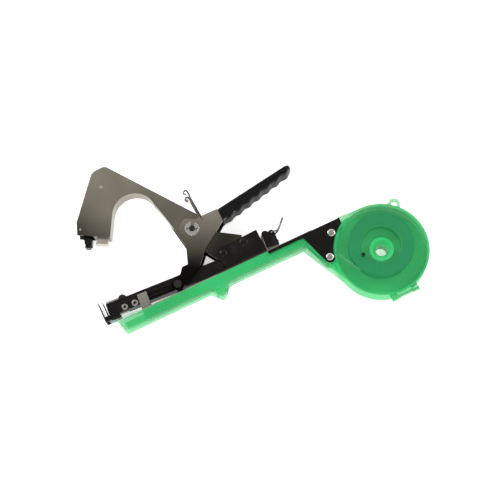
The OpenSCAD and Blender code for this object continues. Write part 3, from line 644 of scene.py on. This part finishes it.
# %% Stick of staples
def bent_wire(name, points, radius, sides=10, bend=0.5, bend_steps=4):
    """A round wire through points, with a rounded bend at each inner point."""
    path = [Vector(points[0])]
    for before, corner, after in zip(points, points[1:], points[2:]):
        corner = Vector(corner)
        into, out = Vector(before) - corner, Vector(after) - corner
        reach = min(bend, into.length * 0.45, out.length * 0.45)
        a, b = corner + into.normalized() * reach, corner + out.normalized() * reach
        for i in range(bend_steps + 1):
            t = i / bend_steps
            path.append(a.lerp(corner, t).lerp(corner.lerp(b, t), t))
    path.append(Vector(points[-1]))
    work = bmesh.new()
    rings = []
    side = None
    for i, point in enumerate(path):
        way = (path[min(i + 1, len(path) - 1)] - path[max(i - 1, 0)]).normalized()
        if side is None:
            side = way.orthogonal()
        side = (side - way * side.dot(way)).normalized()
        up = way.cross(side)
        turn = [2 * math.pi * k / sides for k in range(sides)]
        rings.append([work.verts.new(point + (side * math.cos(a) + up * math.sin(a)) * radius) for a in turn])
    for a, b in zip(rings, rings[1:]):
        for k in range(sides):
            work.faces.new((a[k], a[(k + 1) % sides], b[(k + 1) % sides], b[k]))
    work.faces.new(list(reversed(rings[0])))
    work.faces.new(rings[-1])
    mesh = bpy.data.meshes.new(name)
    work.to_mesh(mesh)
    work.free()
    smooth_mesh(mesh)
    return bpy.data.objects.new(name, mesh)


STAPLE_HALF = 2.75
STAPLE_LEG = 4.5
STAPLE_PITCH = 0.55
STAPLE_SHAPE = (
    (0, STAPLE_LEG, -STAPLE_HALF), (0, 0, -STAPLE_HALF), (0, 0, STAPLE_HALF), (0, STAPLE_LEG, STAPLE_HALF),
)
one_staple = bent_wire(
    "staple_wire",
    [Vector(p) * MM for p in STAPLE_SHAPE],
    0.25 * MM, sides=6, bend=0.6 * MM, bend_steps=2,
)
stick = Recipe("staple_stick", Staple="object", Count="count", Pitch="vector")
line = stick.add("GeometryNodeMeshLine", Count=stick.input["Count"], Offset=stick.input["Pitch"])
source = stick.add("GeometryNodeObjectInfo", Object=stick.input["Staple"]).node
stick.end(stick.add("GeometryNodeInstanceOnPoints", Points=line, Instance=source.outputs["Geometry"]))
low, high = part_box("staples")
stick_start = channel_x(low) + 0.9
stick_length = (high[0] - low[0]) / MM / CHANNEL_WAY.x - 1.6
channel_turn = Matrix((
    (CHANNEL_WAY.x, CHANNEL_UP.x, 0), (CHANNEL_WAY.y, CHANNEL_UP.y, 0), (0, 0, 1),
)).to_4x4()
staple_count = int(stick_length / STAPLE_PITCH)
staples = stick.make(
    "staple_stick", place=Matrix.Translation(in_channel(stick_start, 8.0)) @ channel_turn,
    Staple=one_staple, Count=staple_count, Pitch=(STAPLE_PITCH * MM, 0, 0), Material=staple_steel,
)
show(staples, "staples", None)

# %% [markdown]
# Screws, rivets and eyelets are all heads of one kind at several places. The recipe puts a
# head on every point it is given and turns it about its own axis, since no two screws stop at
# the same angle. A head is a turned profile, and the screw's cross is cut out of it.

# %% Heads of the fasteners
def turned(name, profile, steps=40):
    """A closed body turned about Z from (radius, height) pairs in millimetres."""
    work = bmesh.new()
    rings = []
    for r, z in profile:
        if r == 0:
            rings.append([work.verts.new((0, 0, z * MM))])
        else:
            turn = [2 * math.pi * k / steps for k in range(steps)]
            rings.append([work.verts.new((r * MM * math.cos(a), r * MM * math.sin(a), z * MM)) for a in turn])
    for a, b in zip(rings, rings[1:]):
        for k in range(steps):
            corners = [a[k % len(a)], a[(k + 1) % len(a)], b[(k + 1) % len(b)], b[k % len(b)]]
            corners = list(dict.fromkeys(corners))
            if len(corners) > 2:
                work.faces.new(corners)
    bmesh.ops.recalc_face_normals(work, faces=work.faces)
    mesh = bpy.data.meshes.new(name)
    work.to_mesh(mesh)
    work.free()
    smooth_mesh(mesh, math.radians(35))
    return bpy.data.objects.new(name, mesh)


def cut_cross(head, length, width, depth, top):
    """Cuts a cross-shaped recess into the top of a head."""
    work = bmesh.new()
    for turn in (0, 90):
        made = bmesh.ops.create_cube(work, size=1)["verts"]
        bmesh.ops.scale(work, verts=made, vec=(length * MM, width * MM, depth * 2 * MM))
        bmesh.ops.rotate(work, verts=made, cent=(0, 0, 0), matrix=Matrix.Rotation(math.radians(turn), 3, "Z"))
        bmesh.ops.translate(work, verts=made, vec=(0, 0, top * MM))
    mesh = bpy.data.meshes.new("cross_cutter")
    work.to_mesh(mesh)
    work.free()
    cutter = bpy.data.objects.new("cross_cutter", mesh)
    bpy.context.scene.collection.objects.link(cutter)
    bpy.context.scene.collection.objects.link(head)
    cut = head.modifiers.new("cut", "BOOLEAN")
    cut.object = cutter
    cut.operation = "DIFFERENCE"
    cut.solver = "EXACT"
    cut.use_self = True
    ready = head.evaluated_get(bpy.context.evaluated_depsgraph_get())
    result = bpy.data.meshes.new_from_object(ready)
    head.modifiers.clear()
    head.data = result
    bpy.data.objects.remove(cutter)
    bpy.context.scene.collection.objects.unlink(head)
    smooth_mesh(result, math.radians(35))
    return head


heads = Recipe("fastener_heads", Head="object", Turn="number")
source = heads.add("GeometryNodeObjectInfo", Object=heads.input["Head"])
source = next(n for n in heads.group.nodes if n.bl_idname == "GeometryNodeObjectInfo").outputs["Geometry"]
index = heads.add("GeometryNodeInputIndex")
angle = heads.add("ShaderNodeMath", {"operation": "MULTIPLY"})
angle_node = angle.node
heads.group.links.new(index, angle_node.inputs[0])
heads.group.links.new(heads.input["Turn"], angle_node.inputs[1])
axis_turn = heads.add("ShaderNodeCombineXYZ", Z=angle)
as_rotation = heads.add("FunctionNodeEulerToRotation", Euler=axis_turn)
heads.end(
    heads.add(
        "GeometryNodeInstanceOnPoints", Points=heads.input["Geometry"], Instance=source, Rotation=as_rotation,
    )
)


def solid_centres(node):
    """The middle of each loose solid of a node, seen along Z, in a steady order."""
    work = bmesh.new()
    work.from_mesh(frame["nodes"][node].data)
    bmesh.ops.remove_doubles(work, verts=work.verts, dist=0.01 * MM)
    left = set(work.verts)
    found = []
    while left:
        heap, seen = [left.pop()], []
        while heap:
            vert = heap.pop()
            seen.append(vert.co.copy())
            for edge in vert.link_edges:
                other = edge.other_vert(vert)
                if other in left:
                    left.remove(other)
                    heap.append(other)
        low = Vector([min(c[i] for c in seen) for i in range(3)])
        high = Vector([max(c[i] for c in seen) for i in range(3)])
        found.append((low, high))
    work.free()
    return sorted(found, key=lambda pair: tuple(round(v, 5) for v in (*pair[0], *pair[1])))


FASTENED = ("plate_screws", "plate_nuts", "channel_rivets", "rear_pin", "jaw_pin")
print({node: len(solid_centres(node)) for node in FASTENED})

# %% [markdown]
# The two screws that hold the reel case have pan heads with a cross. Their shanks show only
# from the far side, so the whole screw is one turned profile from the nut to the head.

# %% Screws of the reel case
screw_low, screw_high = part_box("plate_screws")
screw_ends = solid_centres("plate_screws")
screw_length = (screw_high[2] - screw_low[2]) / MM
pan_head = turned("pan_head", [
    (0, 0), (1.6, 0), (1.9, 0.3), (1.9, screw_length - 0.8), (3.5, screw_length - 0.8),
    (3.7, screw_length - 0.62), (3.6, screw_length - 0.35), (3.1, screw_length - 0.08),
    (2.4, screw_length), (0, screw_length),
])
cut_cross(pan_head, 4.2, 0.95, 0.62, screw_length)
screw_points = [((low.x + high.x) / 2, (low.y + high.y) / 2, screw_low[2]) for low, high in screw_ends]
case_screws = heads.make("case_screws", screw_points, Head=pan_head, Turn=0.6, Material=bright_steel)
show(case_screws, "plate_screws", None)
bpy.data.objects.remove(pan_head)

# %% [markdown]
# The two pins of the housing are riveted: their ends are hammered into low domes.

# %% Riveted pins
def riveted_pin(node, name, dome=0.75, material=dark_steel):
    low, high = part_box(node)
    head_r = (high[0] - low[0]) / 2 / MM
    length = (high[2] - low[2]) / MM
    shank = head_r - 1.3
    body = turned(name + "_profile", [
        (0, 0), (head_r * 0.45, 0.04), (head_r * 0.8, 0.28), (head_r, dome), (head_r, 1.0), (shank, 1.0),
        (shank, length - 1.0), (head_r, length - 1.0), (head_r, length - dome), (head_r * 0.8, length - 0.28),
        (head_r * 0.45, length - 0.04), (0, length),
    ])
    point = ((low[0] + high[0]) / 2, (low[1] + high[1]) / 2, low[2])
    piece = show(heads.make(name, [point], Head=body, Turn=0.0, Material=material), node, None)
    bpy.data.objects.remove(body)
    return piece


riveted_pin("jaw_pin", "jaw_pin_riveted")
riveted_pin("rear_pin", "rear_pin_riveted")

# %% [markdown]
# The channel is closed by hollow rivets, whose rims are rolled over like an eyelet's.

# %% Eyelets of the channel
eyelets = []
for number, (low, high) in enumerate(solid_centres("channel_rivets")):
    rim, height = (high.x - low.x) / 2 / MM, (high.z - low.z) / MM
    outer, hole = rim - 1.2, rim - 1.9
    near = (low.z + high.z) / 2 > MID_Z
    profile = [
        (hole, 0), (outer, 0), (outer, height - 0.6), (rim - 0.1, height - 0.6), (rim, height - 0.3),
        (rim - 0.35, height - 0.03), (rim - 0.8, height), (hole + 0.15, height - 0.12),
        (hole, height - 0.45), (hole, 0),
    ]
    eyelet = turned("eyelet_profile", profile, 32)
    if not near:
        eyelet.data.transform(Matrix.Translation((0, 0, height * MM)) @ Matrix.Rotation(math.pi, 4, "X"))
    point = ((low.x + high.x) / 2, (low.y + high.y) / 2, low.z)
    eyelets.append(heads.make(f"eyelet_{number}", [point], Head=eyelet, Turn=0.0, Material=saddle_steel))
    bpy.data.objects.remove(eyelet)
show(joined("channel_eyelets", eyelets), "channel_rivets", None)

# %% [markdown]
# The roll is one long band wound on itself, so its shape follows a rule too: a spiral curve
# whose radius grows by one thickness a turn, with the band's section swept along it. Its two
# edges show the turns, as a real roll does.

# %% Roll of tape
band = Recipe(
    "wound_band", Turns="number", Inside="number", Outside="number", Width="number", Thickness="number",
    Steps="count",
)
spiral = band.add(
    "GeometryNodeCurveSpiral", Resolution=band.input["Steps"], Rotations=band.input["Turns"],
    Start_Radius=band.input["Inside"], End_Radius=band.input["Outside"], Height=0.0,
)
section = band.add(
    "GeometryNodeCurvePrimitiveQuadrilateral", {"mode": "RECTANGLE"},
    Width=band.input["Thickness"], Height=band.input["Width"],
)
band.end(band.add("GeometryNodeCurveToMesh", Curve=spiral, Profile_Curve=section, Fill_Caps=True))

low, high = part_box("tape_roll")
roll_out = (high[0] - low[0]) / 2
roll_in = (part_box("roll_core")[1][0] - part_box("roll_core")[0][0]) / 2
roll_mid = Vector([(a + b) / 2 for a, b in zip(low, high)])
tape_turns = 26.0
pitch = (roll_out - roll_in) / tape_turns
roll = band.make(
    "tape_turns", place=Matrix.Translation(roll_mid), Turns=tape_turns, Inside=roll_in + pitch / 2,
    Outside=roll_out - pitch / 2, Width=high[2] - low[2], Thickness=pitch * 0.96, Steps=56,
    Material=roll_tape,
)
show(roll, "tape_roll", None)

# %% [markdown]
# The two bent wires are round spring wire: a lock that swings over the handle's grip, and a
# small pull at the back of the magazine. Each is one wire with its ends through the sheet.

# %% Lock wire and pull wire
WIRE_R = 0.9


def two_legs(name, node, pivot, half, leg, material=wire_steel, bend=1.6):
    """A wire with a crossbar on the pivot and a leg of the same shape on each side."""
    points = [pivot + Vector(p) * MM for p in ([(x, y, -z) for x, y, z in reversed(leg(half))] + leg(half))]
    piece = bent_wire(name, points, WIRE_R * MM, sides=14, bend=bend * MM, bend_steps=5)
    return show(piece, node, material)


low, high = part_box("lock_wire")
lock_half = (high[2] - low[2]) / 2 / MM - WIRE_R
EYE_AT, EYE_R = (-3.4, 31.9), 2.1


def lock_leg(z):
    """A straight leg that ends in a small rolled eye."""
    turns = [math.radians(degrees) for degrees in range(-20, 300, 32)]
    eye = [(EYE_AT[0] + EYE_R * math.cos(a), EYE_AT[1] + EYE_R * math.sin(a), z) for a in turns]
    return [(0, 0, z), (-1.4, 26, z), (-0.9, 29.5, z)] + eye


two_legs("lock_wire_bent", "lock_wire", PIVOT["lock_wire_swing"], lock_half, lock_leg)


def pull_leg(z):
    steps = [(0, 0, z), (3.2, 0.2, z), (7, 0.6, 1.8), (10, 3.4, 0.95), (17, 11.4, 0.95)]
    return [tuple(CHANNEL_WAY * x + CHANNEL_UP * y + Vector((0, 0, s))) for x, y, s in steps]


low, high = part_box("tail_wire")
pull_half = (high[2] - low[2]) / 2 / MM - WIRE_R
two_legs("tail_wire_bent", "tail_wire", PIVOT["tail_wire_swing"], pull_half, pull_leg)

# %% [markdown]
# The grip is a sleeve of thick vinyl that is dipped or pushed over the handle's tongue. It is
# round-backed, has shallow waves for the fingers underneath and closes in a soft nose. Its
# section is a rounded box at every place along it, so the sleeve is a loft of such rings.

# %% Vinyl grip
low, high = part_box("handle_grip")
GRIP_X0, GRIP_X1 = low[0] / MM, high[0] / MM
HALF_WIDTH = (high[2] - low[2]) / 2 / MM
WAVE_L, WAVE_H = 11.5, 1.4
RING = 64
GROOVE_AT, GROOVE_HALF, GROOVE_DEPTH = 0.30, 0.12, 0.45


def grip_top(x):
    return 109 + (x - GRIP_X0) * 0.143


def grip_low(x):
    return 94.4 + (x - GRIP_X0) * 0.237 + WAVE_H * math.sin((x - GRIP_X0) * 2 * math.pi / WAVE_L) / 2


def section_point(turn, half_height, half_width, power=4.6):
    """A point of a rounded box: the higher the power, the squarer the corners."""
    c, s = math.cos(turn), math.sin(turn)
    return (
        half_height * math.copysign(abs(s) ** (2 / power), s),
        half_width * math.copysign(abs(c) ** (2 / power), c),
    )


def grip_stations():
    """Places along the grip, with how full the section is there."""
    tip = 7.0
    stations = [(GRIP_X0, 0.90), (GRIP_X0 + 0.25, 0.955), (GRIP_X0 + 0.9, 1.0)]
    steps = 96
    straight = GRIP_X1 - tip - GRIP_X0 - 0.9
    stations += [(GRIP_X0 + 0.9 + straight * i / steps, 1.0) for i in range(1, steps + 1)]
    for i in range(1, 12):
        turn = math.pi / 2 * i / 12
        stations.append((GRIP_X1 - tip + tip * math.sin(turn), math.cos(turn) ** 0.72))
    stations.append((GRIP_X1 - 0.05, 0.06))
    return stations


work = bmesh.new()
rings = []
for x, full in grip_stations():
    middle, half = (grip_top(x) + grip_low(x)) / 2, (grip_top(x) - grip_low(x)) / 2
    ring = []
    for k in range(RING):
        rise, out = section_point(2 * math.pi * k / RING, half * full, HALF_WIDTH * min(1.0, full + 0.02))
        in_groove = abs(rise / half - GROOVE_AT) < GROOVE_HALF and GRIP_X0 + 6 < x < GRIP_X1 - 9
        out -= math.copysign(GROOVE_DEPTH, out) if in_groove else 0
        ring.append(work.verts.new((x * MM, (middle + rise) * MM, MID_Z + out * MM)))
    rings.append(ring)
for a, b in zip(rings, rings[1:]):
    for k in range(RING):
        work.faces.new((a[k], a[(k + 1) % RING], b[(k + 1) % RING], b[k]))
work.faces.new(rings[0])
work.faces.new(rings[-1])
bmesh.ops.recalc_face_normals(work, faces=work.faces)
mesh = bpy.data.meshes.new("grip_sleeve")
work.to_mesh(mesh)
work.free()
smooth_mesh(mesh, math.radians(50))
show(bpy.data.objects.new("grip_sleeve", mesh), "handle_grip", vinyl)
print("grip", len(rings), "rings of", RING)

# %% [markdown]
# What is left of the solids is already the right shape, because it is hidden, turned or very
# thin. Those keep their meshes and only get a finish in their material slots.

# %% Finishes on the remaining solids
KEPT = {
    "cover_hinge_pin": bright_steel,
    "tape_strip": loose_tape,
    "driver_blade": bright_steel,
    "follower_rod": wire_steel,
    "anvil_rivets": bright_steel,
    "claw_pin": rail_steel,
}
for node, material in KEPT.items():
    mesh = frame["nodes"][node].data
    mesh.materials.clear()
    mesh.materials.append(material)
